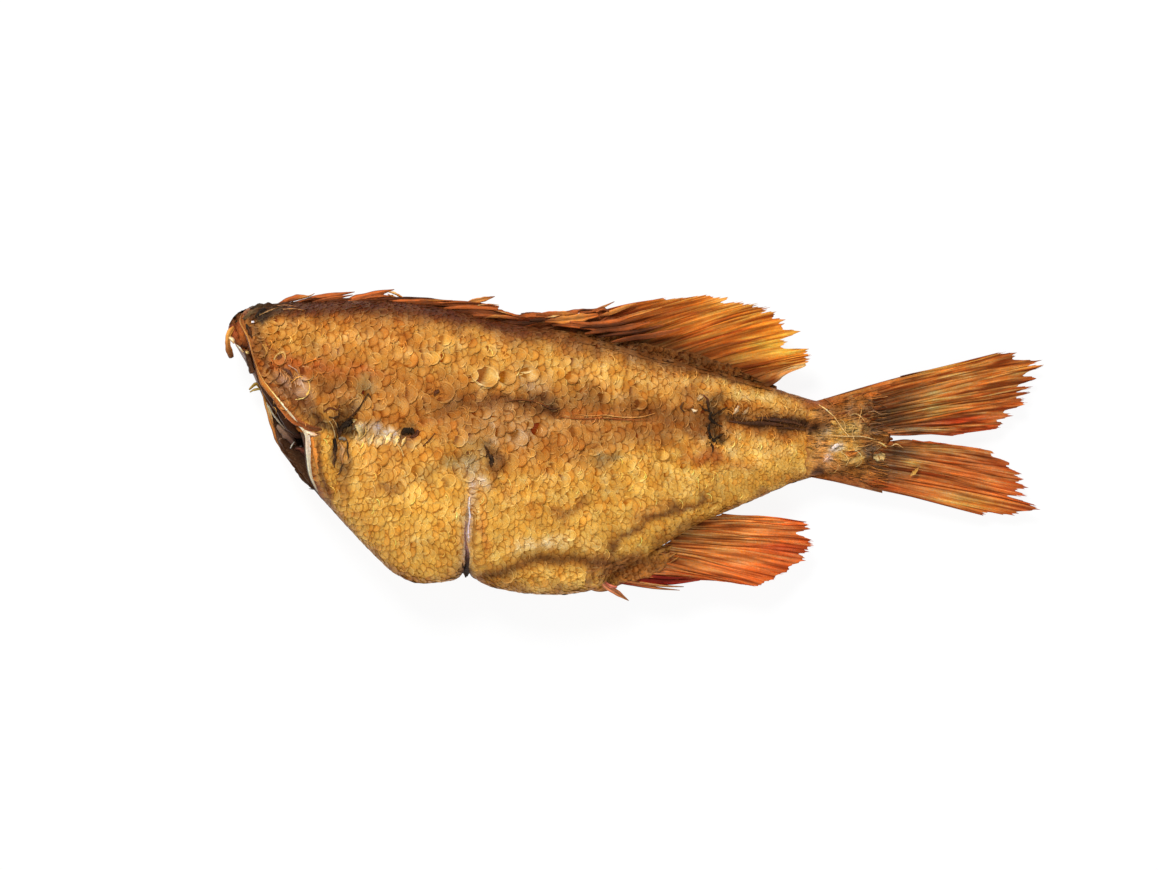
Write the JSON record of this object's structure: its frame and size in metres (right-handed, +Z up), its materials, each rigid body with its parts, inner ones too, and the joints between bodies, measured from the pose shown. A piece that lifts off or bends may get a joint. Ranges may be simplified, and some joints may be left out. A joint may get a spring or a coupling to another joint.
{
  "type": "smoked fish",
  "caption": "Whole hot-smoked fish with its head cut off, lying on its right flank, with golden-brown scaly skin, ragged dried fins and an open gullet at the cut.",
  "frame": {"origin": "centre of the fish's bounding box, on the surface that it lies on", "axes": "+X along the fish from the cut to the tips of the tail, +Y towards its back, +Z up out of its left flank"},
  "size_m": [0.3003, 0.1155, 0.0374],
  "materials": {
    "smoked_skin": "satin, dried and a little oily",
    "dried_fin": "matte, brittle",
    "cut_flesh": "satin, dried"
  },
  "bodies": {
    "root": {"smoked_fish": "smoked_skin"}
  },
  "joints": []
}
